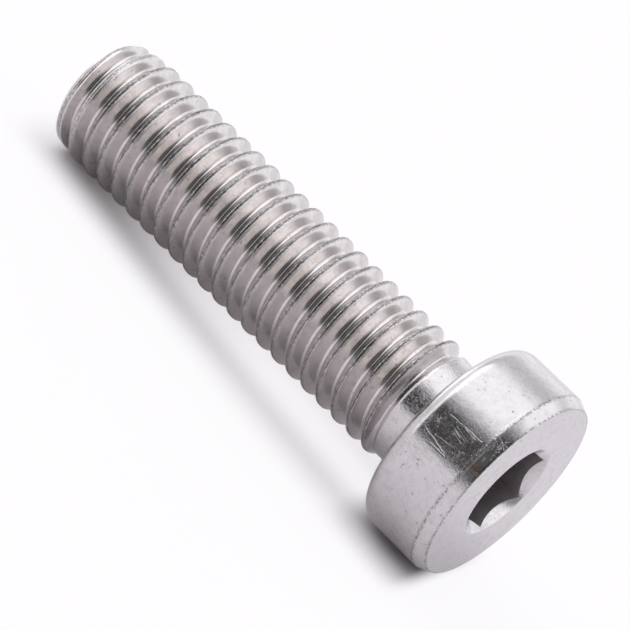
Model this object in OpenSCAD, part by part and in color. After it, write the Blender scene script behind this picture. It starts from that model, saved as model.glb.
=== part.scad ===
// Low-profile hex socket cap screw, lying on a flat surface as it comes to rest.
// The screw is drawn along its own axis with the bearing face at zero and the head above it,
// then rolled and tilted until the head's rim and a crest near the tip both touch the surface.

/* [Shank] */
// Length from the bearing face to the tip
shank_length = 29.3; // [14:0.1:60]
// Radius of the plain neck between the thread and the head
neck_radius = 3.58; // [3.4:0.01:3.7]
// Length of the plain neck
neck_length = 1.7; // [1.2:0.1:6]
// Radius of the fillet between the neck and the bearing face
neck_fillet = 0.4; // [0.1:0.1:0.8]
// Radius of the flat end of the tip
end_radius = 3.45; // [3.3:0.01:3.7]
// Radius where the tip's steep slope meets its shallow one
slope_radius = 3.66; // [3.5:0.01:3.85]
// Length of the tip's steep slope
steep_length = 0.3; // [0.1:0.05:1]
// Length of the tip's two slopes together
tip_length = 2.3; // [1.2:0.1:3]

/* [Thread] */
// Distance from one crest to the next
pitch = 1.25; // [1:0.05:1.5]
// Radius at the crests
crest_radius = 3.9; // [3.85:0.01:4]
// Depth of the thread from crest to root
thread_depth = 0.68; // [0.5:0.01:0.7]
// Drop from a crest's ridge to the start of its straight flanks
crest_drop = 0.08; // [0.04:0.01:0.12]
// Slope of a flank, measured from straight across the axis
flank_angle = 30; // [25:1:32]
// Width of the groove's floor
root_width = 0.2; // [0.1:0.01:0.25]
// Length over which the thread fades out below the neck
fade_length = 0.9; // [0.5:0.05:1.2]
// Angle around the axis at which a crest would reach the bearing face
thread_turn = 66.6; // [0:0.1:360]
// Flat sides in each turn of the thread
turn_sides = 36; // [24:1:38]

/* [Head] */
// Radius of the head's side
head_radius = 6.38; // [6:0.01:6.8]
// Height of the head
head_height = 5; // [4.8:0.1:8]
// Radius of the rounded edge between the bearing face and the side
edge_radius = 0.9; // [0.2:0.05:1.2]
// Width of the chamfer around the top face, across the axis
chamfer_width = 0.33; // [0.1:0.01:0.8]
// Height of the chamfer around the top face, along the axis
chamfer_height = 0.75; // [0.2:0.05:1]

/* [Socket] */
// Width of the hexagon across its flats
across_flats = 5.08; // [4:0.01:5.2]
// Depth of the straight hexagon below the top face
socket_depth = 3.8; // [2:0.1:4]
// Radius of the countersink at the top face
sink_radius = 3.1; // [2.8:0.05:3.6]
// Slope of the countersink, measured from the top face
sink_slope = 45; // [30:1:60]
// Slope of the cone at the bottom of the socket, measured from the top face
bottom_slope = 20; // [5:1:25]
// Angle of one corner of the hexagon around the axis
socket_turn = 4.5; // [0:0.1:60]

/* [Rest] */
// Turn of the lying screw about its own axis
rest_roll = 241; // [0:1:360]

/* [Hidden] */

$fn = 72;
// Sides of a small rounding's circle
rounding_sides = 32;
steel = [0.66, 0.65, 0.67];
// Step by which the thread's core stays inside the plain neck
core_gap = 0.02;
core_radius = neck_radius - core_gap;
root_radius = crest_radius - thread_depth;
// Reach of a cutting shape past the face that it cuts
spare = 1;

// One turn of the thread as [distance along the axis from the crest, radius].
groove_half = root_width / 2;
flank_width = (thread_depth - crest_drop) * tan(flank_angle);
ridge_half = pitch / 2 - groove_half - flank_width;
thread_form = [
    [0, crest_radius],
    [ridge_half, crest_radius - crest_drop],
    [pitch / 2 - groove_half, root_radius],
    [pitch / 2 + groove_half, root_radius],
    [pitch - ridge_half, crest_radius - crest_drop]
];
form_points = len(thread_form);

// The thread is one winding sheet. It starts past the tip, where it is cut off square, and
// ends inside the neck.
start_turns = 1.1;
end_turns = 0.2;
sheet_start = -shank_length - start_turns * pitch;
full_turns = (shank_length - neck_length) / pitch + start_turns + end_turns;
sheet_steps = ceil(turn_sides * full_turns);
sheet_angle = thread_turn + 360 * sheet_start / pitch;

// The head's rounded edge and one crest touch the surface that the screw lies on.
touch_along = shank_length - tip_length + edge_radius;
touch_across = head_radius - edge_radius - crest_radius;
rest_tilt = atan(touch_across / touch_along)
    + asin(edge_radius / norm([touch_along, touch_across]));

// Share of the thread's height left at a place along the axis, eased at both ends of the fade
function fade(z) =
    let (part = min(max((-neck_length - z) / fade_length, 0), 1))
    part * part * (3 - 2 * part);

// Largest radius at a place along the axis, held in by the tip's two slopes
function tip_limit(z) =
    lookup(z + shank_length, [
        [0, end_radius],
        [steep_length, slope_radius],
        [tip_length, crest_radius]
    ]);

function thread_radius(z, form_radius) =
    min(tip_limit(z), core_radius + (form_radius - core_radius) * fade(z));

function thread_point(step, form) =
    let (
        angle = sheet_angle + 360 * step / turn_sides,
        z = sheet_start + pitch * step / turn_sides + form[0],
        radius = thread_radius(z, form[1])
    )
    [radius * cos(angle), radius * sin(angle), z];

// Number of a point of the sheet. The last point of one turn is the first of the next.
function point_at(step, place) =
    place < form_points
        ? step * form_points + place
        : (step + turn_sides) * form_points;

module thread_sheet() {
    points = [
        for (step = [0:sheet_steps], form = thread_form) thread_point(step, form)
    ];
    last_place = form_points - 1;
    last_full = sheet_steps - turn_sides;
    start_centre = len(points);
    end_centre = start_centre + 1;
    sides = [
        for (step = [0:sheet_steps - 1])
            for (place = [0:step < last_full ? last_place : last_place - 1])
                let (
                    a = point_at(step, place),
                    b = point_at(step + 1, place),
                    c = point_at(step + 1, place + 1),
                    d = point_at(step, place + 1)
                )
                each [[a, d, c], [a, c, b]]
    ];
    start_cap = concat(
        [for (step = [0:turn_sides - 1])
            [start_centre, point_at(step, 0), point_at(step + 1, 0)]],
        [for (place = [0:last_place])
            [start_centre, point_at(0, place + 1), point_at(0, place)]]
    );
    end_cap = concat(
        [for (step = [last_full:sheet_steps - 1])
            [end_centre, point_at(step + 1, last_place), point_at(step, last_place)]],
        [for (place = [0:last_place - 1])
            [end_centre, point_at(sheet_steps, place), point_at(sheet_steps, place + 1)]],
        [[end_centre, point_at(last_full, last_place), point_at(sheet_steps, 0)]]
    );
    end_z = points[len(points) - 1][2];
    polyhedron(
        points = concat(points, [[0, 0, sheet_start], [0, 0, end_z]]),
        faces = concat(sides, start_cap, end_cap),
        convexity = 10
    );
}

module threaded_shank() {
    block = 2 * (crest_radius + spare);
    difference() {
        thread_sheet();
        translate([0, 0, -shank_length - block / 2])
            cube(block, center = true);
    }
}

// Neck, fillet and head as half a section, with the axis on the left.
module body_section() {
    flat_radius = head_radius - edge_radius;
    translate([0, -neck_length])
        square([neck_radius, neck_length + spare]);
    difference() {
        translate([0, -neck_fillet])
            square([neck_radius + neck_fillet, neck_fillet + spare]);
        translate([neck_radius + neck_fillet, -neck_fillet])
            circle(neck_fillet, $fn = rounding_sides);
    }
    polygon([
        [0, 0],
        [flat_radius, 0],
        [head_radius, edge_radius],
        [head_radius, head_height - chamfer_height],
        [head_radius - chamfer_width, head_height],
        [0, head_height]
    ]);
    translate([flat_radius, edge_radius])
        circle(edge_radius, $fn = rounding_sides);
}

module hex_socket() {
    flat_half = across_flats / 2;
    corner_radius = flat_half / cos(30);
    bottom_depth = flat_half * tan(bottom_slope);
    translate([0, 0, head_height - socket_depth])
        rotate([0, 0, socket_turn])
            cylinder(h = socket_depth + spare, r = corner_radius, $fn = 6);
    translate([0, 0, head_height - sink_radius * tan(sink_slope)])
        cylinder(
            h = (sink_radius + spare) * tan(sink_slope),
            r1 = 0,
            r2 = sink_radius + spare
        );
    translate([0, 0, head_height - socket_depth - bottom_depth])
        cylinder(h = bottom_depth, r1 = 0, r2 = flat_half);
}

module screw() {
    difference() {
        union() {
            rotate_extrude()
                body_section();
            threaded_shank();
        }
        hex_socket();
    }
}

module cap_screw() {
    color(steel)
        rotate([0, 90 - rest_tilt, 0])
            rotate([0, 0, rest_roll])
                screw();
}

cap_screw();
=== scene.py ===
"""Looks of the low-head hex socket cap screw: fine mesh, steel, floor, light and camera."""
import math

import bmesh
import bpy
from mathutils import Matrix, Vector, noise


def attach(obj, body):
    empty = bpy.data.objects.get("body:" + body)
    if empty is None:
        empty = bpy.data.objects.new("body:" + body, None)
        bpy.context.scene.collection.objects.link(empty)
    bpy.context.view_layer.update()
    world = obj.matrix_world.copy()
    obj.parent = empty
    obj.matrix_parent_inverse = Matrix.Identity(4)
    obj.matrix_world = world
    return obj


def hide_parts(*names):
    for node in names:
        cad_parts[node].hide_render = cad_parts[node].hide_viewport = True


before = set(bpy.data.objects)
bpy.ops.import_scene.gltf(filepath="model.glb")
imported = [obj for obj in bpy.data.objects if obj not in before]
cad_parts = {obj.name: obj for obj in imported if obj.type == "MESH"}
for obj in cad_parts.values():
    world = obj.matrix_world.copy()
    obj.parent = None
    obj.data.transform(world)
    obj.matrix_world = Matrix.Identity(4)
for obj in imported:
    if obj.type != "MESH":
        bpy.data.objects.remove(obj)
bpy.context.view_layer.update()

MM = 0.001

# Sizes of the screw in millimetres, along its own axis, with the bearing face at zero.
SHANK_LENGTH = 29.3
NECK_RADIUS = 3.58
NECK_LENGTH = 1.7
NECK_FILLET = 0.4
END_RADIUS = 3.45
SLOPE_RADIUS = 3.66
STEEP_LENGTH = 0.3
TIP_LENGTH = 2.3
PITCH = 1.25
CREST_RADIUS = 3.9
FADE_LENGTH = 0.9
THREAD_TURN = 66.6
HEAD_RADIUS = 6.38
HEAD_HEIGHT = 5.0
EDGE_RADIUS = 0.9
CHAMFER_WIDTH = 0.33
CHAMFER_HEIGHT = 0.75
ACROSS_FLATS = 5.08
SOCKET_DEPTH = 3.8
SINK_RADIUS = 3.1
BOTTOM_SLOPE = 20
SOCKET_TURN = 4.5
REST_ROLL = 241
# The seam between the screw's two islands of mesh lies this far below the neck's surface.
SEAM_GAP = 0.002

# Half of one turn of the thread: distance from the crest's seam and depth below the ridge.
HALF_FORM = [
    (0.000, 0.046),
    (0.028, 0.030),
    (0.050, 0.000),
    (0.082, 0.007),
    (0.120, 0.032),
    (0.155, 0.072),
    (0.190, 0.124),
    (0.235, 0.202),
    (0.440, 0.557),
    (0.485, 0.634),
    (0.530, 0.678),
    (0.580, 0.697),
]
ROOT_DEPTH = 0.700
# Longer scratches, each from one point to another as (radius, angle about the axis, z).
SCRATCHES = [
    ((6.38, -7.6, 1.6), (6.38, -8.7, 3.8)),
    ((6.38, 5.6, 1.0), (6.38, 8.1, 2.8)),
    ((6.38, 5.0, 1.7), (6.38, 2.8, 3.4)),
    ((6.38, 9.4, 1.9), (6.38, 9.1, 2.9)),
]
# Dark nicks in the top face, given in the same way.
NICKS = [
    ((4.0, -65.3, 5.0), (5.0, -68.8, 5.0)),
    ((3.94, -49.5, 5.0), (4.23, -51.1, 5.0)),
    ((3.74, -1.2, 5.0), (3.95, -5.2, 5.0)),
    ((4.49, 20.8, 5.0), (3.75, 17.1, 5.0)),
]
# Centre of the faint brown stain on the top chamfer, given in the same way.
STAIN_CENTRE = (6.27, 3.0, 4.6)
# How far a listed scratch wavers to either side of its line, in millimetres. The noise that
# moves it runs from nought to one, so the line itself is moved by half of that.
WAVER = 0.16
DRIFT = Vector((WAVER / 2, WAVER / 2, WAVER / 2))
# Height of the steel's bump where its value is one, in metres.
BUMP_DEPTH = 0.000014
# Steps around one turn of the thread, and around the head.
TURN_SIDES = 132
HEAD_SIDES = 192
# Turns of thread drawn past the tip before the cut, and inside the neck.
START_TURNS = 1.1
END_TURNS = 0.2


def rest_tilt():
    """Angle of the lying screw's axis, in radians, with the head's rim and a crest down."""
    along = SHANK_LENGTH - TIP_LENGTH + EDGE_RADIUS
    across = HEAD_RADIUS - EDGE_RADIUS - CREST_RADIUS
    return math.atan2(across, along) + math.asin(EDGE_RADIUS / math.hypot(along, across))


TILT = rest_tilt()
TURN_TO_REST = (Matrix.Rotation(math.pi / 2 - TILT, 4, "Y")
                @ Matrix.Rotation(math.radians(REST_ROLL), 4, "Z"))
# Height of the bearing face's centre above the floor.
REST_HEIGHT = (EDGE_RADIUS * (1 - math.sin(TILT))
               + (HEAD_RADIUS - EDGE_RADIUS) * math.cos(TILT))


def at_rest(radius, degrees, z):
    """A point of the screw, given about its own axis, moved to its place at rest, in millimetres."""
    angle = math.radians(degrees)
    return TURN_TO_REST @ Vector((radius * math.cos(angle), radius * math.sin(angle), z))


def ease(part):
    part = min(max(part, 0.0), 1.0)
    return part * part * (3 - 2 * part)


def between(value, low, high, start, end):
    """Value read off a straight line from (low, start) to (high, end)."""
    return start + (end - start) * (value - low) / (high - low)


def tip_limit(z):
    """Largest radius at a place along the shank, held in by the tip's two slopes."""
    rise = z + SHANK_LENGTH
    if rise < STEEP_LENGTH:
        return between(rise, 0, STEEP_LENGTH, END_RADIUS, SLOPE_RADIUS)
    if rise < TIP_LENGTH:
        return between(rise, STEEP_LENGTH, TIP_LENGTH, SLOPE_RADIUS, CREST_RADIUS)
    return CREST_RADIUS


def thread_form():
    """One whole turn of the thread as (distance along the axis, radius)."""
    first = [(along, CREST_RADIUS - depth) for along, depth in HALF_FORM]
    second = [(PITCH - along, radius) for along, radius in reversed(first[1:])]
    return first + [(PITCH / 2, CREST_RADIUS - ROOT_DEPTH)] + second


def rolled_wobble(turns, along):
    """Small unevenness left by thread rolling, in millimetres."""
    slow = noise.noise(Vector((turns * 2.3, along * 0.4, 3.1)))
    fast = noise.noise(Vector((turns * 21.0, along * 5.0, 7.7)))
    return 0.006 * slow + 0.004 * fast


def torn_seam(turns, along):
    """Ragged depth of the seam that rolling leaves along a crest, in millimetres."""
    rough = noise.noise(Vector((turns * 58.0, along * 9.0, 1.3)))
    patchy = 0.6 + noise.noise(Vector((turns * 5.0, 0.0, 9.4)))
    return 0.05 * rough * patchy * ease(1.0 - along / 0.06)


def surface_layers(mesh):
    """Values kept with each point, such as the strength of the peel and where a seam runs."""
    names = ("peel", "seam", "lap_shade", "inside", "worn", "flank")
    return {name: mesh.verts.layers.float.new(name) for name in names}


def thread_island(mesh):
    """Winding sheet from past the tip to inside the neck, cut square at the tip."""
    form = thread_form()
    points = len(form)
    layers = surface_layers(mesh)
    core = NECK_RADIUS - SEAM_GAP
    start = -SHANK_LENGTH - START_TURNS * PITCH
    turns = (SHANK_LENGTH - NECK_LENGTH) / PITCH + START_TURNS + END_TURNS
    steps = math.ceil(TURN_SIDES * turns)
    first_angle = math.radians(THREAD_TURN) + 2 * math.pi * start / PITCH
    rows = []
    for step in range(steps + 1):
        angle = first_angle + 2 * math.pi * step / TURN_SIDES
        row = []
        for along, form_radius in form:
            z = start + PITCH * step / TURN_SIDES + along
            height = ease((-NECK_LENGTH - z) / FADE_LENGTH)
            from_crest = min(along, PITCH - along)
            rolled = form_radius + rolled_wobble(step / TURN_SIDES, along)
            rolled -= torn_seam(step / TURN_SIDES, from_crest)
            radius = min(tip_limit(z), core + (rolled - core) * height)
            point = mesh.verts.new((radius * math.cos(angle), radius * math.sin(angle), z))
            point[layers["peel"]] = between(height, 0, 1, 1.6, 0.15)
            point[layers["seam"]] = ease((form_radius - CREST_RADIUS + 0.05) / 0.04) * height
            # The flank value also gives the steel a lighter, warmer colour there: painted light.
            point[layers["flank"]] = ease((CREST_RADIUS - form_radius) / 0.12) * height
            # This marks the crest's lap line, where the steel's colour gets a dark, broken line of
            # painted shade.
            point[layers["lap_shade"]] = height if from_crest < 0.01 else 0.0
            row.append(point)
        rows.append(row)

    def corner(step, place):
        if place < points:
            return rows[step][place]
        return rows[step + TURN_SIDES][0]

    for step in range(steps):
        last = points if step + 1 + TURN_SIDES <= steps else points - 1
        for place in range(last):
            mesh.faces.new((corner(step, place), corner(step + 1, place),
                            corner(step + 1, place + 1), corner(step, place + 1)))
    sheet = list(mesh.verts) + list(mesh.edges) + list(mesh.faces)
    bmesh.ops.bisect_plane(mesh, geom=sheet, plane_co=(0, 0, -SHANK_LENGTH),
                           plane_no=(0, 0, -1), clear_outer=True)
    close_tip(mesh, layers)


def close_tip(mesh, layers):
    """Close the cut at the tip with a shallow dish of round rings, smoother than the thread."""
    rim = [vert for vert in mesh.verts
           if vert.is_boundary and abs(vert.co.z + SHANK_LENGTH) < 1e-5]
    outer = sorted(rim, key=lambda vert: math.atan2(vert.co.y, vert.co.x))
    for share, depth in ((0.91, 0.0), (0.88, 0.001), (0.5, 0.02), (0.2, 0.03)):
        inner = []
        for vert in outer:
            shrink = END_RADIUS * share / math.hypot(vert.co.x, vert.co.y)
            point = mesh.verts.new((vert.co.x * shrink, vert.co.y * shrink, -SHANK_LENGTH + depth))
            point[layers["peel"]] = 0.5
            inner.append(point)
        for side in range(len(outer)):
            mesh.faces.new((inner[side - 1], inner[side], outer[side], outer[side - 1]))
        outer = inner
    mesh.faces.new(outer[::-1])


def socket_wall(angle):
    """Distance from the axis to the hexagon's wall in one direction."""
    sixth = math.pi / 3
    turned = (angle - math.radians(SOCKET_TURN)) % sixth
    return ACROSS_FLATS / 2 / math.cos(turned - sixth / 2)


def arc(centre, radius, start, end, steps):
    """Points of an arc in the half section, as (radius, z)."""
    points = []
    for step in range(steps + 1):
        angle = math.radians(start + (end - start) * step / steps)
        points.append((centre[0] + radius * math.cos(angle), centre[1] + radius * math.sin(angle)))
    return points


def straight(start, end, hold=0.03):
    """A straight stretch of the half section, held flat by points close to its ends."""
    run = math.dist(start, end)
    return [tuple(between(part, 0, run, start[axis], end[axis]) for axis in (0, 1))
            for part in (hold, 2.5 * hold, run - 2.5 * hold, run - hold)]


def body_section():
    """Half section from the neck's lower end to the face's inner rim, as (radius, z, peel, worn)."""
    side_top = HEAD_HEIGHT - CHAMFER_HEIGHT
    face_radius = HEAD_RADIUS - CHAMFER_WIDTH
    slant = math.degrees(math.atan2(CHAMFER_WIDTH, CHAMFER_HEIGHT))
    soft = 0.04
    neck = [(NECK_RADIUS, -NECK_LENGTH - 0.1), (NECK_RADIUS, -1.1), (NECK_RADIUS, -0.7)]
    fillet = arc((NECK_RADIUS + NECK_FILLET, -NECK_FILLET), NECK_FILLET, 180, 90, 8)
    ring = straight(fillet[-1], (HEAD_RADIUS - EDGE_RADIUS, 0))
    edge = arc((HEAD_RADIUS - EDGE_RADIUS, EDGE_RADIUS), EDGE_RADIUS, -90, 0, 20)
    side = straight(edge[-1], (HEAD_RADIUS, side_top - soft), 0.06)
    upper = arc((HEAD_RADIUS - soft, side_top - soft * 0.2), soft, 0, slant, 3)
    corner = arc((face_radius - soft * 0.7, HEAD_HEIGHT - soft), soft, slant, 90, 4)
    chamfer = straight(upper[-1], corner[0], 0.06)
    face = straight(corner[-1], (SINK_RADIUS + 0.02, HEAD_HEIGHT))
    section = []
    for points, peel, worn in ((neck, 1.8, 0.0), (fillet, 1.0, 0.0), (ring, 0.3, 0.0),
                               (edge, 0.8, 0.0), (side, 1.0, 0.0), (upper, 1.0, 1.0),
                               (chamfer, 0.8, 0.0), (corner, 0.6, 1.0), (face, 0.3, 0.0)):
        section += [(radius, z, peel, worn) for radius, z in points]
    # The wear spreads half way into the faces beside a worn edge.
    for place in range(1, len(section) - 1):
        around = (section[place - 1][3], section[place + 1][3])
        if section[place][3] == 0.0 and 1.0 in around:
            section[place] = section[place][:3] + (0.5,)
    return section


def body_island(mesh):
    """Neck, head and socket as rings of points about the axis."""
    layers = surface_layers(mesh)
    first_angle = math.radians(SOCKET_TURN)
    angles = [first_angle + 2 * math.pi * side / HEAD_SIDES for side in range(HEAD_SIDES)]
    rings = [[(radius, z, peel, 0.0, worn)] * HEAD_SIDES
             for radius, z, peel, worn in body_section()]
    walls = [socket_wall(angle) for angle in angles]
    floor_z = HEAD_HEIGHT - SOCKET_DEPTH
    slope = math.tan(math.radians(BOTTOM_SLOPE))

    def lip(wall):
        return HEAD_HEIGHT - (SINK_RADIUS - wall)

    def even(radius, z, peel, inside):
        rings.append([(radius, z, peel, inside, 0.0)] * HEAD_SIDES)

    even(SINK_RADIUS, HEAD_HEIGHT - 0.005, 0.5, 0.0)
    even(SINK_RADIUS - 0.02, HEAD_HEIGHT - 0.02, 0.5, 0.0)
    rings.append([(wall + 0.02, lip(wall) + 0.02, 0.5, 0.0, 0.3) for wall in walls])
    rings.append([(wall + 0.003, lip(wall), 0.1, 0.5, 0.3) for wall in walls])
    rings.append([(wall, lip(wall) - 0.02, 0.0, 1.0, 0.0) for wall in walls])
    for z in (floor_z + 2.0, floor_z + 1.0, floor_z + 0.03):
        rings.append([(wall, z, 0.0, 1.0, 0.0) for wall in walls])
    rings.append([(wall - 0.03, floor_z, 0.0, 1.0, 0.0) for wall in walls])
    even(ACROSS_FLATS / 2 - 0.04, floor_z, 0.0, 1.0)
    even(ACROSS_FLATS / 2 - 0.1, floor_z - 0.06 * slope, 0.0, 1.0)
    even(0.5, floor_z - (ACROSS_FLATS / 2 - 0.5) * slope, 0.0, 1.0)
    rows = []
    for ring in rings:
        row = []
        for (radius, z, peel, inside, worn), angle in zip(ring, angles):
            point = mesh.verts.new((radius * math.cos(angle), radius * math.sin(angle), z))
            point[layers["peel"]] = peel
            point[layers["inside"]] = inside
            point[layers["worn"]] = worn
            row.append(point)
        rows.append(row)
    for lower, upper in zip(rows, rows[1:]):
        for side in range(HEAD_SIDES):
            after = (side + 1) % HEAD_SIDES
            mesh.faces.new((lower[side], lower[after], upper[after], upper[side]))
    bottom = mesh.verts.new((0, 0, floor_z - ACROSS_FLATS / 2 * slope + 0.1))
    bottom[layers["inside"]] = 1.0
    for side in range(HEAD_SIDES):
        mesh.faces.new((rows[-1][side], rows[-1][(side + 1) % HEAD_SIDES], bottom))


def build_screw():
    shank = bmesh.new()
    thread_island(shank)
    shank_mesh = bpy.data.meshes.new("shank_part")
    shank.to_mesh(shank_mesh)
    shank.free()
    both = bmesh.new()
    body_island(both)
    both.from_mesh(shank_mesh)
    bpy.data.meshes.remove(shank_mesh)
    bmesh.ops.transform(both, matrix=TURN_TO_REST @ Matrix.Scale(MM, 4), verts=both.verts)
    mesh = bpy.data.meshes.new("screw_body")
    both.to_mesh(mesh)
    both.free()
    mesh.shade_smooth()
    mesh.set_sharp_from_angle(angle=math.radians(32))
    piece = bpy.data.objects.new("screw_body", mesh)
    bpy.context.scene.collection.objects.link(piece)
    return piece


class Nodes:
    """Small helper for building a node tree."""

    def __init__(self, tree):
        self.tree = tree
        tree.nodes.clear()

    def add(self, kind, values=None, **settings):
        """A new node. A value that is a socket is linked, and any other is set."""
        node = self.tree.nodes.new(kind)
        for name, value in settings.items():
            setattr(node, name, value)
        for name, value in (values or {}).items():
            if isinstance(value, bpy.types.NodeSocket):
                self.tree.links.new(value, node.inputs[name])
            else:
                node.inputs[name].default_value = value
        return node

    def math(self, operation, first, second=0.0, clamp=False):
        node = self.add("ShaderNodeMath", {0: first, 1: second}, operation=operation)
        node.use_clamp = clamp
        return node.outputs[0]

    def smooth(self, value, low, high, start, end):
        """Value eased from start to end while the input goes from low to high."""
        node = self.add("ShaderNodeMapRange", {
            "Value": value, "From Min": low, "From Max": high, "To Min": start, "To Max": end,
        }, interpolation_type="SMOOTHSTEP")
        return node.outputs[0]

    def noise(self, place, scale, detail=2.0, rough=0.5, distortion=0.0):
        node = self.add("ShaderNodeTexNoise", {
            "Vector": place, "Scale": scale, "Detail": detail, "Roughness": rough,
            "Distortion": distortion,
        })
        return node.outputs[0]

    def stretched(self, place, turn, scale):
        """The same place, turned and then scaled apart along its axes."""
        turned = self.add("ShaderNodeMapping", {
            "Vector": place, "Rotation": [math.radians(angle) for angle in turn],
        })
        node = self.add("ShaderNodeMapping", {"Vector": turned.outputs[0], "Scale": scale})
        return node.outputs[0]

    def scratch(self, place, start, end, width):
        """One along the straight line from start to end, and nought further off than the width."""
        run = end - start
        off = self.add("ShaderNodeVectorMath", {0: place, 1: start}, operation="SUBTRACT").outputs[0]
        share = self.add("ShaderNodeVectorMath", {0: off, 1: run / run.length_squared},
                         operation="DOT_PRODUCT").outputs["Value"]
        share = self.math("MINIMUM", self.math("MAXIMUM", share, 0.0), 1.0)
        nearest = self.add("ShaderNodeVectorMath", {0: run, "Scale": share}, operation="SCALE")
        gap = self.add("ShaderNodeVectorMath", {0: off, 1: nearest.outputs[0]}, operation="DISTANCE")
        return self.smooth(gap.outputs["Value"], 0.0, width, 1.0, 0.0)

    def blend(self, factor, first, second):
        """Colour mixed from first to second."""
        node = self.add("ShaderNodeMix", {"Factor": factor, "A": first, "B": second},
                        data_type="RGBA")
        return node.outputs["Result"]

    def place_in_mm(self):
        """Place in the shared frame, in millimetres."""
        place = self.add("ShaderNodeTexCoord").outputs["Object"]
        scaled = self.add("ShaderNodeMapping", {"Vector": place, "Scale": (1000, 1000, 1000)})
        return scaled.outputs[0]

    def stored(self, name):
        return self.add("ShaderNodeAttribute", attribute_name=name).outputs["Fac"]


def scratch_marks(nodes, in_mm, shaken):
    """One in a scratch and nought beside it: sparse families of fine ones, then the long ones."""
    marks = 0.0
    for turn, reach in (((0, 0, 6), 0.25), ((20, 0, -35), 0.5), ((-30, 10, 70), 0.4)):
        line = nodes.noise(nodes.stretched(in_mm, turn, (reach, 5.0, 5.0)), 1.0, 1.0)
        off = nodes.math("ABSOLUTE", nodes.math("SUBTRACT", line, 0.5))
        thin = nodes.smooth(off, 0.0, 0.01, 1.0, 0.0)
        cloud = nodes.noise(nodes.stretched(in_mm, turn, (0.3, 0.5, 0.5)), 1.0, 1.0)
        patch = nodes.smooth(cloud, 0.62, 0.7, 0.0, 1.0)
        marks = nodes.math("MAXIMUM", marks, nodes.math("MULTIPLY", thin, patch))
    return nodes.math("MAXIMUM", marks, placed_marks(nodes, shaken, SCRATCHES, 0.07))


def placed_marks(nodes, shaken, lines, width):
    """One along each listed line of the screw, wavering a little, and nought away from it."""
    marks = 0.0
    for start, end in lines:
        mark = nodes.scratch(shaken, at_rest(*start) + DRIFT, at_rest(*end) + DRIFT, width)
        marks = nodes.math("MAXIMUM", marks, mark)
    return marks


def steel_bump(nodes, in_mm, drawn, marks, pits):
    """Normal of the tumbled peel, with scratches, pits and torn seams and edges."""
    coarse = nodes.math("MULTIPLY", nodes.noise(drawn, 2.4, 1.0), 0.36)
    fine = nodes.math("MULTIPLY", nodes.noise(drawn, 8.0, 2.5, 0.65, 0.5), 0.36)
    height = nodes.math("MULTIPLY", nodes.math("ADD", coarse, fine), nodes.stored("peel"))
    height = nodes.math("SUBTRACT", height, nodes.math("MULTIPLY", marks, 0.45))
    height = nodes.math("SUBTRACT", height, nodes.math("MULTIPLY", pits, 0.6))
    edges = nodes.math("MULTIPLY", nodes.stored("worn"), 0.5)
    ragged = nodes.math("MAXIMUM", nodes.stored("seam"), edges)
    torn = nodes.math("MULTIPLY", nodes.noise(in_mm, 9.0, 2.0), ragged)
    height = nodes.math("ADD", height, nodes.math("MULTIPLY", torn, 2.6))
    bump = nodes.add("ShaderNodeBump", {
        "Strength": 1.0, "Distance": BUMP_DEPTH, "Height": height,
    })
    return bump.outputs[0]


def steel_roughness(nodes, in_mm, drawn):
    """Roughness of the steel, higher in the peel's worm-like grain, seams, flanks and socket."""
    rough = nodes.smooth(nodes.noise(in_mm, 1.1, 2.0), 0.3, 0.7, 0.12, 0.17)
    middle = nodes.math("SUBTRACT", nodes.noise(drawn, 5.5, 2.0, 0.6, 1.0), 0.5)
    worms = nodes.smooth(nodes.math("ABSOLUTE", middle), 0.0, 0.05, 1.0, 0.0)
    grain = nodes.math("MULTIPLY", worms, nodes.stored("peel"))
    rough = nodes.math("ADD", rough, nodes.math("MULTIPLY", grain, 0.15))
    for name, more in (("seam", 0.12), ("flank", 0.06), ("inside", 0.15)):
        rough = nodes.math("ADD", rough, nodes.math("MULTIPLY", nodes.stored(name), more))
    return rough


def steel_colour(nodes, in_mm, pits, nicks):
    """Clean steel, darker in pits, nicks and wear and inside the socket, with the one brown stain;
    painted shade in the crest laps and a lighter, warmer painted sheen on the thread's flanks.
    """
    seam, worn = nodes.stored("seam"), nodes.stored("worn")
    stain = nodes.smooth(nodes.noise(in_mm, 2.2, 4.0, 0.65), 0.42, 0.72, 0.0, 0.16)
    rub = nodes.smooth(nodes.noise(in_mm, 7.0, 2.0), 0.38, 0.56, 0.0, 0.7)
    broken = nodes.smooth(nodes.noise(in_mm, 4.0, 3.0), 0.4, 0.55, 0.15, 0.75)
    # Inside the socket the steel is darker, and along the crest laps a broken line of painted shade
    # darkens it.
    for first, second in ((pits, 0.6), (nodes.stored("inside"), 0.22), (nicks, 0.45),
                          (rub, nodes.math("MAXIMUM", worn, seam)),
                          (broken, nodes.stored("lap_shade"))):
        stain = nodes.math("MAXIMUM", stain, nodes.math("MULTIPLY", first, second))
    from_stain = nodes.add("ShaderNodeVectorMath", {0: in_mm, 1: at_rest(*STAIN_CENTRE)},
                           operation="DISTANCE").outputs["Value"]
    browned = nodes.math("MULTIPLY", nodes.smooth(from_stain, 0.15, 0.65, 0.7, 0.0),
                         nodes.smooth(nodes.noise(in_mm, 3.0, 2.0), 0.35, 0.6, 0.2, 1.0))
    # Painted light: on the thread's flanks the steel is a lighter, warmer copy of itself.
    colour = nodes.blend(nodes.stored("flank"), (0.60, 0.57, 0.585, 1), (0.64, 0.605, 0.6, 1))
    colour = nodes.blend(stain, colour, (0.13, 0.12, 0.11, 1))
    return nodes.blend(browned, colour, (0.42, 0.25, 0.2, 1))


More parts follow.
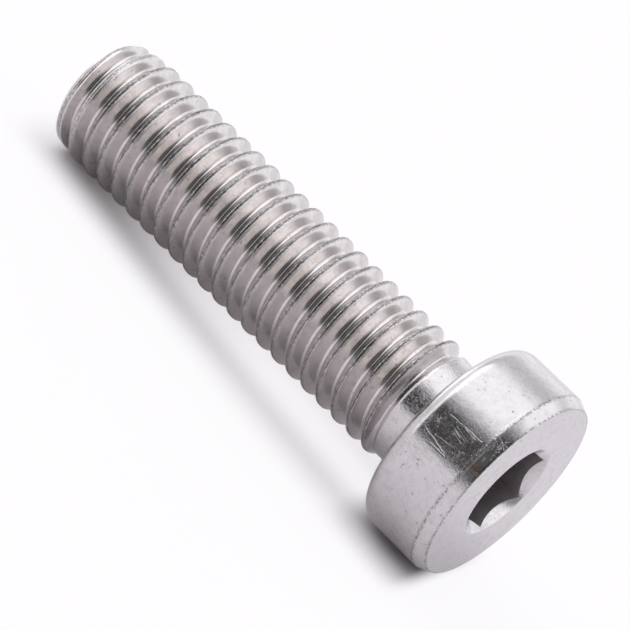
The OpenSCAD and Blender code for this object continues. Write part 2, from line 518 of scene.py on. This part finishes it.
def steel_material():
    """Stainless steel, tumbled to a fine peel, with scratches, pits and rough thread seams."""
    material = bpy.data.materials.new("tumbled_stainless")
    material.use_nodes = True
    nodes = Nodes(material.node_tree)
    in_mm = nodes.place_in_mm()
    drawn = nodes.stretched(in_mm, (0, 0, 0), (0.7, 1.1, 1.1))
    wander = nodes.add("ShaderNodeTexNoise", {"Vector": in_mm, "Scale": 2.0, "Detail": 2.0})
    shaken = nodes.add("ShaderNodeVectorMath", {
        0: wander.outputs["Color"], 1: (WAVER, WAVER, WAVER), 2: in_mm,
    }, operation="MULTIPLY_ADD").outputs[0]
    outside = nodes.math("SUBTRACT", 1.0, nodes.stored("inside"))
    pits = nodes.smooth(nodes.noise(in_mm, 4.5, 2.0), 0.69, 0.74, 0.0, 1.0)
    pits = nodes.math("MULTIPLY", pits, outside)
    nicks = placed_marks(nodes, shaken, NICKS, 0.08)
    marks = nodes.math("MAXIMUM", scratch_marks(nodes, in_mm, shaken), nicks)
    marks = nodes.math("MULTIPLY", marks, outside)
    marks = nodes.math("MULTIPLY", marks, nodes.smooth(nodes.stored("peel"), 0.1, 0.5, 0.15, 1.0))
    shader = nodes.add("ShaderNodeBsdfPrincipled", {
        "Base Color": steel_colour(nodes, in_mm, pits, nicks),
        "Metallic": 1.0,
        "Roughness": steel_roughness(nodes, in_mm, drawn),
        "Normal": steel_bump(nodes, in_mm, drawn, marks, pits),
    })
    nodes.add("ShaderNodeOutputMaterial", {"Surface": shader.outputs[0]})
    return material


def floor_material():
    """White table. For the camera only, its shadow is lifted by place, and deepened at the head."""
    material = bpy.data.materials.new("white_table")
    material.use_nodes = True
    nodes = Nodes(material.node_tree)
    path = nodes.add("ShaderNodeLightPath")
    camera_ray = path.outputs["Is Camera Ray"]
    seen = nodes.math("MAXIMUM", camera_ray, path.outputs["Is Glossy Ray"])
    colour = nodes.blend(seen, (0.86, 0.84, 0.86, 1), (0.95, 0.92, 0.95, 1))
    split = nodes.add("ShaderNodeSeparateXYZ", {"Vector": nodes.place_in_mm()})
    along, across = split.outputs[:2]
    reach = nodes.math("ABSOLUTE", across)
    by_head = nodes.math("MULTIPLY", nodes.smooth(along, -0.6, 1.4, 0.0, 1.0),
                         nodes.smooth(along, 4.2, 5.4, 1.0, 0.0))
    contact = nodes.math("MULTIPLY", by_head, nodes.smooth(reach, 1.2, 3.4, 1.0, 0.0))
    shade = nodes.blend(nodes.math("MULTIPLY", contact, camera_ray), colour, (0.35, 0.34, 0.35, 1))
    diffuse = nodes.add("ShaderNodeBsdfDiffuse", {"Color": shade})
    beside = nodes.math("MULTIPLY", nodes.smooth(along, -28.0, -16.0, 0.0, 0.34),
                        nodes.smooth(reach, 0.3, 3.3, 1.0, 0.0))
    under_shank = nodes.math("ADD", nodes.smooth(along, -27.0, -8.0, 0.02, 0.52), beside)
    under_shank = nodes.math("MULTIPLY", under_shank, nodes.smooth(along, -1.5, 0.8, 1.0, 0.0))
    past_ends = nodes.math("ADD", nodes.smooth(along, 4.4, 5.6, 0.0, 0.9),
                           nodes.smooth(along, -32.0, -28.6, 0.9, 0.0))
    close = nodes.math("ADD", under_shank, past_ends)
    inner = nodes.math("SUBTRACT", reach, nodes.smooth(along, -26.0, -6.0, -0.5, 0.5))
    lift = nodes.math("MULTIPLY", nodes.smooth(inner, 1.6, 5.8, close, 0.94), camera_ray)
    white = nodes.add("ShaderNodeEmission", {"Color": (1.0, 0.985, 1.0, 1), "Strength": 1.0})
    mix = nodes.add("ShaderNodeMixShader", {0: lift, 1: diffuse.outputs[0], 2: white.outputs[0]})
    nodes.add("ShaderNodeOutputMaterial", {"Surface": mix.outputs[0]})
    return material


def add_floor():
    half = 1.5
    height = -REST_HEIGHT * MM
    mesh = bpy.data.meshes.new("table_top")
    corners = [(-half, -half, height), (half, -half, height), (half, half, height), (-half, half, height)]
    mesh.from_pydata(corners, [], [(0, 1, 2, 3)])
    floor = bpy.data.objects.new("table_top", mesh)
    floor.data.materials.append(floor_material())
    bpy.context.scene.collection.objects.link(floor)


def add_world():
    """Studio around the screw: a long softbox overhead, a pale backdrop and a dark room in front.

    Angles are counted about the screw's length, from straight up towards the camera's side.
    """
    world = bpy.data.worlds.new("studio")
    bpy.context.scene.world = world
    world.use_nodes = True
    nodes = Nodes(world.node_tree)
    place = nodes.add("ShaderNodeTexCoord")
    split = nodes.add("ShaderNodeSeparateXYZ", {"Vector": place.outputs["Generated"]})
    along, back, up = split.outputs
    angle = nodes.math("ARCTAN2", nodes.math("MULTIPLY", back, -1.0), up)
    beside = nodes.smooth(along, -0.3, 0.3, 0.0, 1.0)
    pushed = nodes.math("ADD", angle, nodes.math("MULTIPLY", beside, math.radians(26)))
    front_edge = nodes.smooth(pushed, math.radians(15.5), math.radians(48), 1.0, 0.0)
    back_edge = nodes.smooth(pushed, math.radians(-44), math.radians(-20), 0.0, 1.0)
    level = nodes.smooth(along, -0.56, -0.38, 2.2, 1.42)
    level = nodes.math("MULTIPLY", level, nodes.smooth(along, -0.88, -0.68, 0.5, 1.0))
    softbox = nodes.math("MULTIPLY", nodes.math("MULTIPLY", front_edge, back_edge), level)
    drop = nodes.math("MULTIPLY", nodes.smooth(angle, math.radians(-75), math.radians(-50), 1.2, 0.75),
                      nodes.smooth(along, -0.93, -0.76, 2.0, 1.0))
    backdrop = nodes.math("MULTIPLY", nodes.math("SUBTRACT", 1.0, back_edge), drop)
    ends = nodes.smooth(nodes.math("ABSOLUTE", along), 0.44, 0.62, 0.0, 1.0)
    front = nodes.math("SUBTRACT", 1.0, front_edge)
    end_level = nodes.math("MULTIPLY", nodes.smooth(along, -0.6, 0.6, 1.35, 0.3),
                           nodes.smooth(along, -0.84, -0.7, 0.65, 1.0))
    fill = nodes.math("MULTIPLY", nodes.math("MULTIPLY", ends, front), end_level)
    low = nodes.smooth(angle, math.radians(79.5), math.radians(88.5), 0.0, 1.0)
    strip = nodes.math("MULTIPLY", low, nodes.math("SUBTRACT", 1.0, ends))
    strength = nodes.math("ADD", nodes.math("ADD", softbox, backdrop),
                          nodes.math("ADD", nodes.math("ADD", fill, strip), 0.068))
    warmth = nodes.math("MULTIPLY", nodes.smooth(along, -0.62, -0.54, 1.0, 0.0),
                        nodes.smooth(along, -0.78, -0.7, 0.0, 1.0))
    in_front = nodes.smooth(angle, -0.2, 0.5, 0.0, 1.0)
    tint = nodes.blend(nodes.math("MULTIPLY", warmth, in_front),
                       (0.985, 1.0, 1.02, 1), (1.0, 0.985, 0.95, 1))
    room = nodes.add("ShaderNodeBackground", {"Color": tint, "Strength": strength})
    white = nodes.add("ShaderNodeBackground", {"Color": (1, 1, 1, 1), "Strength": 1.0})
    path = nodes.add("ShaderNodeLightPath")
    mix = nodes.add("ShaderNodeMixShader", {
        0: path.outputs["Is Camera Ray"], 1: room.outputs[0], 2: white.outputs[0],
    })
    nodes.add("ShaderNodeOutputWorld", {"Surface": mix.outputs[0]})


def add_camera():
    """Camera of the photograph: a long lens, tipped so that the screw runs corner to corner."""
    from_axis = math.radians(69.64)
    roll = math.radians(44.605)
    target = Vector((0, 0.496, -10.17))
    distance = 181.1
    back = Vector((math.sin(from_axis), 0, math.cos(from_axis)))
    along = Vector((-math.cos(from_axis), 0, math.sin(from_axis)))
    across = Vector((0, -1, 0))
    right = along * math.cos(roll) + across * math.sin(roll)
    up = -along * math.sin(roll) + across * math.cos(roll)
    turn = Matrix((right, up, back)).transposed().to_4x4()
    place = Matrix.Translation((target + back * distance) * MM)
    camera = bpy.data.cameras.new("photo_camera")
    camera.sensor_width = 36
    camera.lens = 184.6
    camera.clip_start = 0.01
    holder = bpy.data.objects.new("photo_camera", camera)
    holder.matrix_world = TURN_TO_REST @ place @ turn
    bpy.context.scene.collection.objects.link(holder)
    bpy.context.scene.camera = holder


screw = build_screw()
screw.data.materials.append(steel_material())
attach(screw, "root")
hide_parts("cap_screw")

add_floor()
add_world()
add_camera()
bpy.context.scene.view_settings.view_transform = "Standard"
